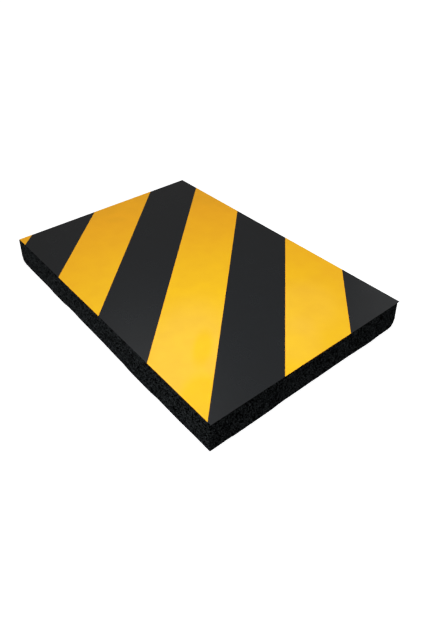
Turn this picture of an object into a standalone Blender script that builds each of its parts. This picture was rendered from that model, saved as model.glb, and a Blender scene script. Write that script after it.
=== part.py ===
"""Foam wall protection panel, lying on its back: a thick slab of black closed-cell foam with a
striped plastic sheet bonded to its face.

Units are metres and +Z is up, out of the printed face. The origin is the middle of the flat
back, the side that goes against the wall, and +X runs along the slab's long side.
"""

import math

import bmesh
import bpy
from mathutils import Matrix, Vector

# Foam slab
SLAB_LENGTH = 0.5985
SLAB_WIDTH = 0.3985
SLAB_THICKNESS = 0.051
SLAB_CORNER_RADIUS = 0.0025
BACK_EDGE_RADIUS = 0.0015
FACE_EDGE_RADIUS = 0.0008

# Face sheet, black through and through, bonded to the slab. It was laid a little off: it stands
# past the slab on the +X and +Y sides, and the slab shows past it on the other two.
SHEET_THICKNESS = 0.0006
SHEET_OVERHANG = 0.0015
SLAB_SHOWING_AT_END = 0.0005
SLAB_SHOWING_AT_SIDE = 0.0015
SHEET_CORNER_RADIUS = 0.0008
BOND_GAP = 0.0003

# Yellow bands, a coat printed on the sheet: as wide as the black between them
COAT_THICKNESS = 0.0001
BAND_WIDTH = 0.100
BAND_ANGLE = math.radians(45)
# From the sheet's left corner, along its long edge, to the first change of colour
CORNER_BAND_EDGE = 0.027

CORNER_SEGMENTS = 8
BACK_EDGE_SEGMENTS = 4
FACE_EDGE_SEGMENTS = 2
SHEET_CORNER_SEGMENTS = 3
SHARP_ANGLE = math.radians(35)


def linear(channel):
    """One channel of an sRGB colour, 0 to 255, as the linear value that a shader takes."""
    share = channel / 255
    return share / 12.92 if share <= 0.04045 else ((share + 0.055) / 1.055) ** 2.4


def material(name, red, green, blue, roughness):
    made = bpy.data.materials.new(name)
    made.use_nodes = True
    shader = made.node_tree.nodes["Principled BSDF"]
    shader.inputs["Base Color"].default_value = (linear(red), linear(green), linear(blue), 1)
    shader.inputs["Roughness"].default_value = roughness
    shader.inputs["Metallic"].default_value = 0
    return made


def slab_box():
    """The slab's lowest and highest corner. The outline of slab and sheet together is centred."""
    low = Vector((-(SLAB_LENGTH + SHEET_OVERHANG) / 2, -(SLAB_WIDTH + SHEET_OVERHANG) / 2, 0))
    return low, low + Vector((SLAB_LENGTH, SLAB_WIDTH, SLAB_THICKNESS))


def sheet_box():
    """The sheet's lowest and highest corner, without the yellow coat."""
    slab_low, slab_high = slab_box()
    low = slab_low + Vector((SLAB_SHOWING_AT_END, SLAB_SHOWING_AT_SIDE, SLAB_THICKNESS + BOND_GAP))
    high = slab_high + Vector((SHEET_OVERHANG, SHEET_OVERHANG, BOND_GAP + SHEET_THICKNESS))
    return low, high


def block(low, high):
    """A bmesh box between its lowest and its highest corner."""
    bm = bmesh.new()
    bmesh.ops.create_cube(bm, size=1)
    bmesh.ops.scale(bm, vec=high - low, verts=bm.verts)
    bmesh.ops.translate(bm, vec=(low + high) / 2, verts=bm.verts)
    return bm


def upright_edges(bm):
    return [e for e in bm.edges if abs((e.verts[0].co - e.verts[1].co).normalized().z) > 0.99]


def upper_faces(bm):
    return [face for face in bm.faces if face.normal.z > 0.9]


def rim(bm, height):
    """The edges round a block at one height, where a side wall meets its flat face."""
    return [
        edge
        for edge in bm.edges
        if all(abs(vert.co.z - height) < 1e-6 for vert in edge.verts)
        and any(abs(face.normal.z) < 0.5 for face in edge.link_faces)
    ]


def round_edges(bm, edges, radius, segments):
    bmesh.ops.bevel(
        bm,
        geom=edges,
        offset=radius,
        offset_type="OFFSET",
        segments=segments,
        profile=0.5,
        affect="EDGES",
        clamp_overlap=True,
        material=-1,
    )
    bm.normal_update()


def add_object(name, bm, materials):
    mesh = bpy.data.meshes.new(name)
    bm.to_mesh(mesh)
    bm.free()
    for each in materials:
        mesh.materials.append(each)
    mesh.shade_smooth()
    mesh.set_sharp_from_angle(angle=SHARP_ANGLE)
    made = bpy.data.objects.new(name, mesh)
    bpy.context.scene.collection.objects.link(made)
    return made


def foam_slab():
    """Knife-cut slab: upright corners and back edge worn round, face edge nearly square."""
    low, high = slab_box()
    bm = block(low, high)
    round_edges(bm, upright_edges(bm), SLAB_CORNER_RADIUS, CORNER_SEGMENTS)
    round_edges(bm, rim(bm, low.z), BACK_EDGE_RADIUS, BACK_EDGE_SEGMENTS)
    round_edges(bm, rim(bm, high.z), FACE_EDGE_RADIUS, FACE_EDGE_SEGMENTS)
    return add_object("foam_slab", bm, [material("black closed-cell foam", 22, 23, 25, 0.92)])


def band_edges(low, high):
    """Distances from the sheet's left corner, across the bands, at which the colour changes."""
    across = Vector((math.sin(BAND_ANGLE), math.cos(BAND_ANGLE), 0))
    first = CORNER_BAND_EDGE * across.x
    furthest = (high - low).dot(across)
    count = 1 + int((furthest - first) / BAND_WIDTH)
    return across, [first + i * BAND_WIDTH for i in range(count)]


def face_sheet():
    """Flat sheet whose upper face is cut along the bands; the yellow ones are raised by the coat."""
    low, high = sheet_box()
    bm = block(low, high)
    round_edges(bm, upright_edges(bm), SHEET_CORNER_RADIUS, SHEET_CORNER_SEGMENTS)

    across, edges = band_edges(low, high)
    for distance in edges:
        geometry = {part for face in upper_faces(bm) for part in (face, *face.edges, *face.verts)}
        bmesh.ops.bisect_plane(
            bm, geom=list(geometry), plane_co=low + across * distance, plane_no=across
        )
        bm.normal_update()

    # The corner band is yellow, and every second one after it.
    yellow = []
    for face in upper_faces(bm):
        at = (face.calc_center_median() - low).dot(across)
        if sum(distance < at for distance in edges) % 2 == 0:
            yellow.append(face)
    coat = bmesh.ops.extrude_face_region(bm, geom=yellow)["geom"]
    bmesh.ops.delete(bm, geom=yellow, context="FACES_KEEP_BOUNDARY")
    for part in coat:
        if isinstance(part, bmesh.types.BMVert):
            part.co.z += COAT_THICKNESS
        elif isinstance(part, bmesh.types.BMFace):
            part.material_index = 1
    bm.normal_update()
    return add_object(
        "face_sheet",
        bm,
        [
            material("black sheet, satin", 46, 47, 49, 0.42),
            material("yellow printed coat, satin", 244, 186, 38, 0.42),
        ],
    )


def main():
    for old in list(bpy.data.objects):
        bpy.data.objects.remove(old, do_unlink=True)
    panel = bpy.data.objects.new("wall_panel", None)
    bpy.context.scene.collection.objects.link(panel)
    for piece in (foam_slab(), face_sheet()):
        piece.parent = panel
        piece.matrix_parent_inverse = Matrix.Identity(4)


main()
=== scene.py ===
"""The looks of a foam wall protection panel, in metres, with +Z up out of its striped face.

It lies on its back, as in the photograph. The foam slab comes first, then the face sheet that is
bonded to it, then the studio round them. Left, right, front and behind are as the camera sees them.
"""

import math

import bmesh
import bpy
from mathutils import Matrix, Vector, noise


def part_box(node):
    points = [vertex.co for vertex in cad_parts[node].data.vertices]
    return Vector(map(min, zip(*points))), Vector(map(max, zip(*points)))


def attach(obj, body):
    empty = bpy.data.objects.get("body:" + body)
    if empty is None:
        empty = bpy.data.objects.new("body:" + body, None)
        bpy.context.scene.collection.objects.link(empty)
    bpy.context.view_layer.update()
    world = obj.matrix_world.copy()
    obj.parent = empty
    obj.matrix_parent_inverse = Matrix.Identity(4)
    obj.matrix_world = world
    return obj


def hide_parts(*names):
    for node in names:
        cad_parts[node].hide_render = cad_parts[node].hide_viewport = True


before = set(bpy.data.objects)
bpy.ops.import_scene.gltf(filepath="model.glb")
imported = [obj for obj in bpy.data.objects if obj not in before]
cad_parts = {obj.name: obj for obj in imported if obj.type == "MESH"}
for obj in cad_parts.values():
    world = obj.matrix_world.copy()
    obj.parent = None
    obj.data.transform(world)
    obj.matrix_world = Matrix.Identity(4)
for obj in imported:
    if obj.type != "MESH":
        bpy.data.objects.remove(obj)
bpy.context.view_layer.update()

MM = 0.001


# Camera
# It looks down on the front corner of the panel, along a line fitted to the face's four corners
# and to the edges of its bands. Its view is shifted down, as the photograph's framing needs, and
# not sideways.

# The picture's long side, in pixels, spans the sensor.
PICTURE_LONG_SIDE = 631
FOCAL_PIXELS = 595.5
CAMERA_PLACE = Vector((0.7182, -0.5190, 0.6621))
CAMERA_AZIMUTH = math.radians(51.903)
CAMERA_ELEVATION = math.radians(31.477)
CAMERA_ROLL = math.radians(-1.448)
SHIFT_DOWN = 0.1276

camera = bpy.data.objects.new("photo_camera", bpy.data.cameras.new("photo_camera"))
bpy.context.scene.collection.objects.link(camera)
bpy.context.scene.camera = camera
camera.data.lens = FOCAL_PIXELS * camera.data.sensor_width / PICTURE_LONG_SIDE
camera.data.shift_y = -SHIFT_DOWN
camera.matrix_world = (
    Matrix.Translation(CAMERA_PLACE)
    @ Matrix.Rotation(CAMERA_AZIMUTH, 4, "Z")
    @ Matrix.Rotation(math.pi / 2 - CAMERA_ELEVATION, 4, "X")
    @ Matrix.Rotation(CAMERA_ROLL, 4, "Z")
)


# Foam slab
# A slab of closed-cell polyethylene foam, black all through with carbon. It is cut from a block
# with a blade, so that its sides show the small cups of the cells that the blade opened, and its
# corners and its back edge are rubbed a little round.

SLAB_CORNER_RADIUS = 1.2 * MM
SLAB_BACK_RADIUS = 1.5 * MM
SLAB_FACE_RADIUS = 0.8 * MM
CORNER_SEGMENTS = 4
BACK_SEGMENTS = 3
FACE_SEGMENTS = 2
MESH_PITCH = 1.15 * MM

# The real sheet on the face is thinner than the stand-in, so the foam comes up higher under it.
FOAM_RISE = 0.5 * MM

# Real cells are 0.5 to 1.5 mm wide. These are drawn about twice as wide, so that they show. The
# wall between two cups is a share of their pitch, and the least open cup a share of their depth.
CUP_PITCH = 2.9 * MM
CUP_DEPTH = 0.35 * MM
CUP_WALL = 0.35
LEAST_OPEN = 0.35

# Three of the back's corners are rubbed round. The front one, nearest the camera, is still sharp.
WORN_RADIUS = 6.5 * MM
WORN_REACH = 18 * MM

# The blade wandered, most of all low down, so the sides swell and dip along their back edge. Each
# swell is a place along its side, half of its width and how far out it stands.
WANDER_PITCH = 70 * MM
WANDER_DEPTH = 0.3 * MM
LONG_SIDE_SWELLS = [
    (0 * MM, 600 * MM, 0.85 * MM),
    (-140 * MM, 40 * MM, 0.7 * MM),
    (-92 * MM, 28 * MM, -0.35 * MM),
    (145 * MM, 140 * MM, 0.85 * MM),
    (130 * MM, 52 * MM, 1.0 * MM),
]
END_SWELLS = [
    (-145 * MM, 110 * MM, 1.1 * MM),
    (-185 * MM, 30 * MM, -0.6 * MM),
    (-40 * MM, 50 * MM, -0.7 * MM),
    (75 * MM, 55 * MM, -0.6 * MM),
    (130 * MM, 60 * MM, 0.9 * MM),
    (180 * MM, 45 * MM, -1.1 * MM),
]

# A direction of length 1 runs along an axis, or faces mostly along it, from these values up.
ALONG = 0.999
FACING = 0.7

# Points nearer than this are at one place.
TOUCHING = 0.01 * MM

# The slab's straight edges are at least this share of its size. Those of its corners are short.
STRAIGHT_SHARE = 0.8


def block(low, high):
    """A bmesh box between its lowest and its highest corner."""
    bm = bmesh.new()
    bmesh.ops.create_cube(bm, size=1)
    bmesh.ops.scale(bm, vec=high - low, verts=bm.verts)
    bmesh.ops.translate(bm, vec=(low + high) / 2, verts=bm.verts)
    return bm


def edges_along(bm, axis, shortest=0):
    """Edges that run along axis 0, 1 or 2, upright, and are at least as long as shortest."""
    return [
        edge
        for edge in bm.edges
        if edge.calc_length() >= shortest
        and abs((edge.verts[0].co - edge.verts[1].co).normalized()[axis]) > ALONG
    ]


def rim(bm, height):
    """The edges round a block at one height, where a side wall meets a flat face."""
    return [
        edge
        for edge in bm.edges
        if all(abs(vert.co.z - height) < TOUCHING for vert in edge.verts)
        and any(abs(face.normal.z) < FACING for face in edge.link_faces)
    ]


def round_edges(bm, edges, radius, segments):
    bmesh.ops.bevel(
        bm,
        geom=edges,
        offset=radius,
        offset_type="OFFSET",
        segments=segments,
        profile=0.5,
        affect="EDGES",
        clamp_overlap=True,
        material=-1,
    )
    bm.normal_update()


def smoothly(share):
    """Goes from 0 to 1 as share does, with no corner at either end."""
    share = min(max(share, 0), 1)
    return share * share * (3 - 2 * share)


def add_piece(name, bm, materials):
    """Makes the bmesh a piece that rides on the panel's one body."""
    mesh = bpy.data.meshes.new(name)
    bm.to_mesh(mesh)
    bm.free()
    for material in materials:
        mesh.materials.append(material)
    piece = bpy.data.objects.new(name, mesh)
    bpy.context.scene.collection.objects.link(piece)
    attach(piece, "root")
    return piece


def linear(hex_colour):
    """An sRGB hex colour as the linear colour that a shader takes."""
    channels = [int(hex_colour[i : i + 2], 16) / 255 for i in (1, 3, 5)]
    return (*(c / 12.92 if c <= 0.04045 else ((c + 0.055) / 1.055) ** 2.4 for c in channels), 1)


def add_node(tree, kind, inputs, **settings):
    """Adds a node. Each of its inputs gets a value or another node's output.

    Inputs go by name, but by number on a node whose inputs share a name. On a Mix node 0 is the
    factor, 2 and 3 are the numbers and 6 and 7 the colours, and output 0 or 2 is the result.
    """
    made = tree.nodes.new(kind)
    for name, value in settings.items():
        setattr(made, name, value)
    for socket, value in inputs.items():
        if isinstance(value, bpy.types.NodeSocket):
            tree.links.new(value, made.inputs[socket])
        else:
            made.inputs[socket].default_value = value
    return made


def start_material(name, roughness, ior, specular):
    """A named material, its tree, its shader and the piece's own coordinates."""
    material = bpy.data.materials.new(name)
    material.use_nodes = True
    tree = material.node_tree
    shader = tree.nodes["Principled BSDF"]
    shader.inputs["Roughness"].default_value = roughness
    shader.inputs["IOR"].default_value = ior
    shader.inputs["Specular IOR Level"].default_value = specular
    place = add_node(tree, "ShaderNodeTexCoord", {}).outputs["Object"]
    return material, tree, shader, place


def per_metre(size):
    """A texture's scale for a pattern whose features are that size."""
    return 1 / size


slab_low, slab_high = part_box("foam_slab")
slab_high.z += FOAM_RISE
slab_size = slab_high - slab_low

foam = block(slab_low, slab_high)
round_edges(foam, edges_along(foam, 2), SLAB_CORNER_RADIUS, CORNER_SEGMENTS)
round_edges(foam, rim(foam, slab_low.z), SLAB_BACK_RADIUS, BACK_SEGMENTS)
round_edges(foam, rim(foam, slab_high.z), SLAB_FACE_RADIUS, FACE_SEGMENTS)

# The flat face and back stay whole, so they come off while the sides are cut into small squares.
flats = [face for face in foam.faces if abs(face.normal.z) > ALONG]
bmesh.ops.delete(foam, geom=flats, context="FACES_ONLY")
for axis in range(3):
    straight = edges_along(foam, axis, STRAIGHT_SHARE * slab_size[axis])
    cuts = round(straight[0].calc_length() / MESH_PITCH) - 1
    bmesh.ops.subdivide_edges(foam, edges=straight, cuts=cuts, use_grid_fill=True)
border = [edge for edge in foam.edges if edge.is_boundary]
for edge in border:
    edge.smooth = False
bmesh.ops.holes_fill(foam, edges=border, sides=0)
bmesh.ops.recalc_face_normals(foam, faces=foam.faces)
foam.normal_update()


def swell(place, swells):
    """How far a side stands out at one place along it. Each swell is flat over its inner half."""
    return sum(out * smoothly(2 - 2 * abs(place - middle) / half) for middle, half, out in swells)


def worn_round(point):
    """Presses a point into a box whose back corners are worn round, all but the front one."""
    front = Vector((slab_high.x, slab_low.y, slab_low.z))
    corners = [
        Vector((x, y, slab_low.z))
        for x in (slab_low.x, slab_high.x)
        for y in (slab_low.y, slab_high.y)
    ]
    nearest = min(corners, key=lambda corner: (corner - point).length)
    share = 0 if nearest == front else smoothly(1 - (nearest - point).length / WORN_REACH)
    radius = SLAB_BACK_RADIUS + share * (WORN_RADIUS - SLAB_BACK_RADIUS)
    core = Vector((
        min(max(point.x, slab_low.x + radius), slab_high.x - radius),
        min(max(point.y, slab_low.y + radius), slab_high.y - radius),
        max(point.z, slab_low.z + radius),
    ))
    out = point - core
    return core + out.normalized() * min(out.length, radius)


# Cell noise has one value for each unit cube, so the cups' middles are spread over many cubes.
MIDDLES_SPREAD = 7.3

cup = foam.verts.layers.float.new("cup")
flat_verts = {vert for edge in border for vert in edge.verts}
moved = {}
for vert in foam.verts:
    distances, middles = noise.voronoi(vert.co / CUP_PITCH)
    inside = smoothly((distances[1] - distances[0]) / CUP_WALL)
    chance = abs(noise.cell(middles[0] * MIDDLES_SPREAD))
    vert[cup] = inside * (LEAST_OPEN + (1 - LEAST_OPEN) * chance)
    outwards = Vector((vert.normal.x, vert.normal.y, 0))
    low_down = smoothly((slab_high.z - vert.co.z) / slab_size.z)
    wander = noise.noise(vert.co / WANDER_PITCH) * WANDER_DEPTH
    if vert.normal.y < -FACING:
        wander += swell(vert.co.x, LONG_SIDE_SWELLS)
    elif vert.normal.x > FACING:
        wander += swell(vert.co.y, END_SWELLS)
    dent = 0 if vert in flat_verts else vert[cup] * CUP_DEPTH
    moved[vert] = worn_round(vert.co) + outwards * wander * low_down - vert.normal * dent

# The back's own border stays in its plane.
for vert, place in moved.items():
    vert.co = place
    if vert in flat_verts and vert.co.z < slab_high.z - slab_size.z / 2:
        vert.co.z = slab_low.z
for face in foam.faces:
    face.smooth = True

# Cups take the darker tone the deeper they are, a painted shade inside them.
FOAM_WALL = "#1d1f20"
FOAM_CUP_SHADE = "#131515"

# Finer cells lie over the cups, each with a random tone. The blade went deep into this share of
# them, which are painted black as the shade inside them. The rest go from the deep tone to the
# skimmed one.
FINE_CELL = 1.4 * MM
FINE_CELL_DEPTH = 0.4 * MM
FINE_CELL_STRENGTH = 0.8
DEEP_SHARE = 0.42
DEEP_CELL_SHADE = 0.0
SKIMMED_TONE = 1.5

# Closed-cell polyethylene foam, knife-cut: the open cells swallow the light, so it is nearly black
# and has no gloss. The blade only skimmed some cells and went deep into others, so each has its own
# random tone, which is the fine speckle on the sides. The black of the deep cells and the dark of
# the deeper cups are painted shade.
cut_foam, tree, shader, place = start_material(
    "Black closed-cell polyethylene foam, knife-cut", roughness=0.95, ior=1.5, specular=0.0
)
cup_depth = add_node(tree, "ShaderNodeAttribute", {}, attribute_name="cup")
# Painted shade in the cups: the deeper a cup, the nearer its colour is to the dark tone.
coarse = add_node(
    tree,
    "ShaderNodeMix",
    {0: cup_depth.outputs["Fac"], 6: linear(FOAM_WALL), 7: linear(FOAM_CUP_SHADE)},
    data_type="RGBA",
)
cells = add_node(
    tree, "ShaderNodeTexVoronoi", {"Vector": place, "Scale": per_metre(FINE_CELL)}, feature="F1"
)
cell_chance = add_node(tree, "ShaderNodeSeparateColor", {"Color": cells.outputs["Color"]})
# Painted shade: cells below the deep share are black.
tone = add_node(
    tree,
    "ShaderNodeMapRange",
    {
        "Value": cell_chance.outputs["Red"],
        "From Min": DEEP_SHARE,
        "From Max": 1.0,
        "To Min": DEEP_CELL_SHADE,
        "To Max": SKIMMED_TONE,
    },
)
speckled = add_node(
    tree,
    "ShaderNodeMix",
    {0: 1.0, 6: coarse.outputs[2], 7: tone.outputs[0]},
    data_type="RGBA",
    blend_type="MULTIPLY",
)
bump = add_node(
    tree,
    "ShaderNodeBump",
    {
        "Height": cells.outputs["Distance"],
        "Distance": FINE_CELL_DEPTH,
        "Strength": FINE_CELL_STRENGTH,
    },
)
tree.links.new(speckled.outputs[2], shader.inputs["Base Color"])
tree.links.new(bump.outputs["Normal"], shader.inputs["Normal"])

foam_piece = add_piece("cut_foam_slab", foam, [cut_foam])
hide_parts("foam_slab")


# Face sheet
# A sheet of black satin PVC, with yellow bands printed on it at 45 degrees. It was glued on a
# little off, so it stands 1.5 mm past the foam on the two right-hand sides, and stops short of it
# on the two left-hand ones.

# Thinner than a real line of glue, so that no gap shows
GLUE_LINE = 0.01 * MM
COAT_THICKNESS = 0.1 * MM
SHEET_CORNER_RADIUS = 0.4 * MM
SHEET_CORNER_SEGMENTS = 3
SHEET_MESH_PITCH = 8 * MM

# The first change of colour is measured along the long side, from the sheet's left corner.
BAND_WIDTH = 100 * MM
BAND_ANGLE = math.radians(45)
FIRST_BAND_EDGE = 27 * MM

# The face isn't quite flat: it dips by up to this depth, in waves this far apart.
SHEET_WAVE_PITCH = 110 * MM
SHEET_WAVE_DEPTH = 0.12 * MM

# The sheet's materials, in their order
BLACK_SLOT = 0
INK_SLOT = 1
CUT_EDGE_SLOT = 2

sheet_low, sheet_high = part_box("face_sheet")
sheet_low.z = slab_high.z + GLUE_LINE
black_top = sheet_high.z - COAT_THICKNESS

sheet = block(sheet_low, Vector((sheet_high.x, sheet_high.y, black_top)))
round_edges(sheet, edges_along(sheet, 2), SHEET_CORNER_RADIUS, SHEET_CORNER_SEGMENTS)


def cut_across(bm, point, normal):
    """Cuts the whole mesh along a plane, and takes nothing away."""
    everything = [*bm.verts, *bm.edges, *bm.faces]
    bmesh.ops.bisect_plane(bm, geom=everything, plane_co=point, plane_no=normal)


for axis, normal in enumerate((Vector((1, 0, 0)), Vector((0, 1, 0)))):
    length = sheet_high[axis] - sheet_low[axis]
    count = round(length / SHEET_MESH_PITCH)
    for i in range(1, count):
        cut_across(sheet, sheet_low + normal * (length * i / count), normal)

across = Vector((math.sin(BAND_ANGLE), math.cos(BAND_ANGLE), 0))
first = FIRST_BAND_EDGE * across.x
furthest = (sheet_high - sheet_low).dot(across)
band_edges = [first + i * BAND_WIDTH for i in range(1 + int((furthest - first) / BAND_WIDTH))]
for distance in band_edges:
    cut_across(sheet, sheet_low + across * distance, across)
bmesh.ops.remove_doubles(sheet, verts=sheet.verts, dist=TOUCHING)
sheet.normal_update()

# The band at the left corner is yellow, and every second one after it.
yellow = []
for face in sheet.faces:
    if face.normal.z > FACING:
        at = (face.calc_center_median() - sheet_low).dot(across)
        if sum(distance < at for distance in band_edges) % 2 == 0:
            yellow.append(face)
coat = bmesh.ops.extrude_face_region(sheet, geom=yellow)["geom"]
bmesh.ops.delete(sheet, geom=yellow, context="FACES_KEEP_BOUNDARY")
for part in coat:
    if isinstance(part, bmesh.types.BMVert):
        part.co.z += COAT_THICKNESS
    elif isinstance(part, bmesh.types.BMFace):
        part.material_index = INK_SLOT
for vert in sheet.verts:
    if vert.co.z > (sheet_low.z + black_top) / 2:
        wave = 0.5 + 0.5 * noise.noise(vert.co / SHEET_WAVE_PITCH)
        vert.co.z -= wave * SHEET_WAVE_DEPTH
sheet.normal_update()
for face in sheet.faces:
    face.smooth = True
    if abs(face.normal.z) < FACING and face.material_index == BLACK_SLOT:
        face.material_index = CUT_EDGE_SLOT

SHEET_BLACK = "#111315"
BAND_YELLOW = "#e7a204"
# The paler yellow is the ink with a painted sheen on it.
PAINTED_SHEEN_YELLOW = "#e7a228"
CUT_EDGE_BLACK = "#08080a"

# The real grain is about 0.3 mm wide. It is drawn coarser, so that it shows.
GRAIN = 1.6 * MM
GRAIN_DEPTH = 0.02 * MM
GRAIN_STRENGTH = 0.6

# The noise that the sheen and the tones follow mostly stays between these two values.
MOTTLE = 30 * MM
MOTTLE_LOW = 0.3
MOTTLE_HIGH = 0.7
SHEEN_SPREAD = 0.03

# A painted sheen makes the ink paler at the front end of the middle band and by the right edge, all
# but two spots that the painted sheen leaves out. Each place is an oval along the bands: its
# middle, half of its length, half of its width and how strong it is. It fades over this share of
# its radius.
OVAL_FADE = 0.6
PAINTED_SHEEN_PLACES = [
    ((170 * MM, -135 * MM), 160 * MM, 100 * MM, 0.9),
    ((258 * MM, 5 * MM), 70 * MM, 50 * MM, 0.5),
    ((208 * MM, 75 * MM), 90 * MM, 70 * MM, 0.5),
]
SPOTS_WITHOUT_SHEEN = [
    ((178 * MM, -116 * MM), 55 * MM, 20 * MM, 0.8),
    ((254 * MM, -180 * MM), 60 * MM, 38 * MM, 1.0),
]


def soft_ovals(tree, place, ovals):
    """The sum of ovals on the sheet's face, each as strong at its middle as it says."""
    total = 0.0
    for (x, y), half_length, half_width, strength in ovals:
        along_band = add_node(
            tree,
            "ShaderNodeMapping",
            {
                "Vector": place,
                "Location": (x, y, sheet_high.z),
                "Rotation": (0, 0, -BAND_ANGLE),
                "Scale": (half_length, half_width, 1),
            },
            vector_type="TEXTURE",
        )
        inside = add_node(
            tree,
            "ShaderNodeTexGradient",
            {"Vector": along_band.outputs[0]},
            gradient_type="SPHERICAL",
        )
        soft = add_node(
            tree,
            "ShaderNodeMapRange",
            {
                "Value": inside.outputs["Fac"],
                "From Min": 0.0,
                "From Max": OVAL_FADE,
                "To Min": 0.0,
                "To Max": strength,
            },
            interpolation_type="SMOOTHSTEP",
        )
        added = add_node(tree, "ShaderNodeMath", {0: total, 1: soft.outputs[0]}, operation="ADD")
        total = added.outputs[0]
    return total


def yellow_with_painted_sheen(tree, place):
    """The ink's yellow, paler under a painted sheen, and not in the spots that the painted sheen
    leaves out.
    """
    # How much of the painted sheen each place gets
    rubbed = add_node(
        tree,
        "ShaderNodeMath",
        {0: soft_ovals(tree, place, PAINTED_SHEEN_PLACES), 1: soft_ovals(tree, place, SPOTS_WITHOUT_SHEEN)},
        operation="SUBTRACT",
        use_clamp=True,
    )
    mixed = add_node(
        tree,
        "ShaderNodeMix",
        {0: rubbed.outputs[0], 6: linear(BAND_YELLOW), 7: linear(PAINTED_SHEEN_YELLOW)},
        data_type="RGBA",
    )
    return mixed.outputs[2]


# Calendered PVC is satin, with a fine grain from the rollers. Its sheen wanders a little. The
# screen ink on it is duller, and a little thicker here than there, so its yellow wanders too. The
# edge that the blade left is matt.
sheet_materials = []
for name, colour, roughness, specular, tone_spread in (
    ("Black satin PVC sheet, calendered", SHEET_BLACK, 0.27, 0.5, 0.1),
    ("Yellow ink, screen-printed and cured", BAND_YELLOW, 0.34, 0.5, 0.035),
    ("Black PVC sheet, cut edge", CUT_EDGE_BLACK, 0.8, 0.05, 0.1),
):
    material, tree, shader, place = start_material(
        name, roughness=roughness, ior=1.5, specular=specular
    )
    mottle = add_node(
        tree, "ShaderNodeTexNoise", {"Vector": place, "Scale": per_metre(MOTTLE), "Detail": 2.0}
    )
    tone = add_node(
        tree,
        "ShaderNodeMapRange",
        {
            "Value": mottle.outputs["Fac"],
            "From Min": MOTTLE_LOW,
            "From Max": MOTTLE_HIGH,
            "To Min": 1 - tone_spread,
            "To Max": 1 + tone_spread,
        },
    )
    # The yellow gets its painted sheen here.
    plain = yellow_with_painted_sheen(tree, place) if colour == BAND_YELLOW else linear(colour)
    shade = add_node(
        tree,
        "ShaderNodeMix",
        {0: 1.0, 6: plain, 7: tone.outputs[0]},
        data_type="RGBA",
        blend_type="MULTIPLY",
    )
    sheen = add_node(
        tree,
        "ShaderNodeMapRange",
        {
            "Value": mottle.outputs["Fac"],
            "From Min": MOTTLE_LOW,
            "From Max": MOTTLE_HIGH,
            "To Min": roughness + SHEEN_SPREAD,
            "To Max": roughness,
        },
    )
    grain = add_node(
        tree, "ShaderNodeTexNoise", {"Vector": place, "Scale": per_metre(GRAIN), "Detail": 3.0}
    )
    bump = add_node(
        tree,
        "ShaderNodeBump",
        {"Height": grain.outputs["Fac"], "Distance": GRAIN_DEPTH, "Strength": GRAIN_STRENGTH},
    )
    tree.links.new(shade.outputs[2], shader.inputs["Base Color"])
    tree.links.new(sheen.outputs[0], shader.inputs["Roughness"])
    tree.links.new(bump.outputs["Normal"], shader.inputs["Normal"])
    sheet_materials.append(material)

SHEET_SHARP_ANGLE = math.radians(40)

sheet_piece = add_piece("striped_face_sheet", sheet, sheet_materials)
sheet_piece.data.set_sharp_from_angle(angle=SHEET_SHARP_ANGLE)
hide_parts("face_sheet")


# Studio
# A matt white floor that is lit from below too, so that no shadow shows on it, under a soft white
# ceiling. A lamp hangs close above the front corner and a long softbox stands low on the left. Two
# weak ones behind are there for what the black sheet mirrors by its left side and right corner.

FLOOR_SIZE = 30
FLOOR_DROP = 0.1 * MM
FLOOR_GREY = "#b4b4b4"
FLOOR_LIGHT = "#ffffff"
FLOOR_GLOW = 1.06

white_floor, tree, shader, place = start_material(
    "White paper floor, matt", roughness=0.9, ior=1.5, specular=0.1
)
shader.inputs["Base Color"].default_value = linear(FLOOR_GREY)
shader.inputs["Emission Color"].default_value = linear(FLOOR_LIGHT)
shader.inputs["Emission Strength"].default_value = FLOOR_GLOW
ground = bmesh.new()
bmesh.ops.create_grid(ground, x_segments=1, y_segments=1, size=FLOOR_SIZE / 2)
bmesh.ops.translate(ground, vec=(0, 0, slab_low.z - FLOOR_DROP), verts=ground.verts)
floor_mesh = bpy.data.meshes.new("floor")
ground.to_mesh(floor_mesh)
ground.free()
floor_mesh.materials.append(white_floor)
floor = bpy.data.objects.new("floor", floor_mesh)
bpy.context.scene.collection.objects.link(floor)


def add_softbox(name, place, target, size, power, colour, mirrored):
    """A rectangular lamp that points at its target. Glossy surfaces show it only if mirrored."""
    lamp = bpy.data.lights.new(name, "AREA")
    lamp.shape = "RECTANGLE"
    lamp.size, lamp.size_y = size
    lamp.energy = power
    lamp.color = colour
    made = bpy.data.objects.new(name, lamp)
    bpy.context.scene.collection.objects.link(made)
    made.location = place
    made.rotation_euler = (Vector(target) - Vector(place)).to_track_quat("-Z", "Y").to_euler()
    made.visible_glossy = mirrored


WHITE = (1.0, 1.0, 1.0)
COOL_WHITE = (0.93, 1.0, 1.07)
WARM_WHITE = (1.03, 1.0, 0.97)

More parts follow.
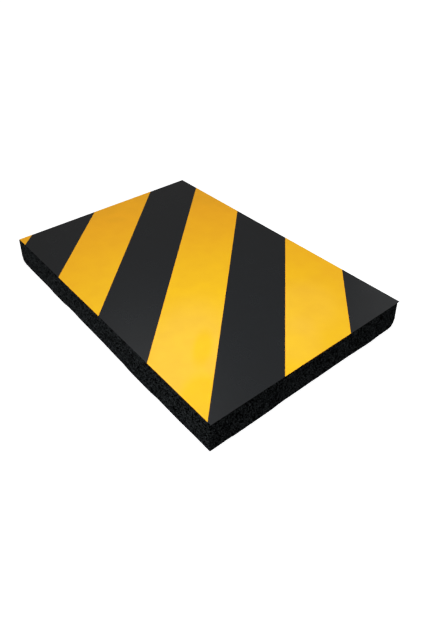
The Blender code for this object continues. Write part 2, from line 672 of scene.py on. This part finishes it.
add_softbox(
    "lamp_over_front_corner",
    place=(0.23, -0.12, 0.55),
    target=(0.2, -0.12, 0.05),
    size=(0.3, 0.3),
    power=3.0,
    colour=COOL_WHITE,
    mirrored=False,
)
add_softbox(
    "long_softbox_on_the_left",
    place=(-0.15, -1.5, 0.1),
    target=(-0.15, -0.2, 0.05),
    size=(1.4, 0.18),
    power=19.5,
    colour=WHITE,
    mirrored=False,
)
add_softbox(
    "high_softbox_behind",
    place=(-1.31, 0.54, 1.97),
    target=(0.12, -0.19, 0.05),
    size=(0.6, 0.6),
    power=1.1,
    colour=WHITE,
    mirrored=True,
)
add_softbox(
    "low_softbox_behind",
    place=(-0.40, 1.77, 1.40),
    target=(0.28, 0.17, 0.05),
    size=(0.8, 0.8),
    power=0.8,
    colour=WHITE,
    mirrored=True,
)

# The ceiling's light comes in between two heights of the direction that a ray looks in, where 0 is
# the horizon and 1 is straight up. The camera itself sees the surroundings as plain white.
CEILING = 2.35
WALLS = 0.155
CEILING_FROM = 0.82
CEILING_FULL_FROM = 0.95
SEEN = 1.4

world = bpy.data.worlds.new("studio")
bpy.context.scene.world = world
world.use_nodes = True
tree = world.node_tree
direction = add_node(tree, "ShaderNodeTexCoord", {}).outputs["Generated"]
height = add_node(tree, "ShaderNodeSeparateXYZ", {"Vector": direction}).outputs["Z"]
light = add_node(
    tree,
    "ShaderNodeMapRange",
    {
        "Value": height,
        "From Min": CEILING_FROM,
        "From Max": CEILING_FULL_FROM,
        "To Min": WALLS,
        "To Max": CEILING,
    },
    interpolation_type="SMOOTHSTEP",
)
seen = add_node(tree, "ShaderNodeLightPath", {}).outputs["Is Camera Ray"]
strength = add_node(tree, "ShaderNodeMix", {0: seen, 2: light.outputs[0], 3: SEEN})
colour = add_node(
    tree, "ShaderNodeMix", {0: seen, 6: (*WARM_WHITE, 1), 7: (*WHITE, 1)}, data_type="RGBA"
)
background = tree.nodes["Background"]
tree.links.new(colour.outputs[2], background.inputs["Color"])
tree.links.new(strength.outputs[0], background.inputs["Strength"])

# The photograph holds back its brightest tones, as a camera does, so that the yellow keeps its hue
# where it is lit most. Darker tones are shown as they are. Each pair is a light and how it shows.
SHOULDER = ((0.62, 0.62), (0.78, 0.775), (0.95, 0.85), (1.06, 0.885))
WHITE_FROM = 1.3

# Red, green and blue have curves of their own, 0 to 2, and then comes the one for all of them.
ALL_CHANNELS = 3

view = bpy.context.scene.view_settings
view.view_transform = "Standard"
view.use_curve_mapping = True
view.curve_mapping.use_clip = False
curve = view.curve_mapping.curves[ALL_CHANNELS]
curve.points[1].location = (WHITE_FROM, 1.0)
for light_level, shown_level in SHOULDER:
    curve.points.new(light_level, shown_level)
for point in curve.points:
    point.handle_type = "VECTOR"
view.curve_mapping.update()
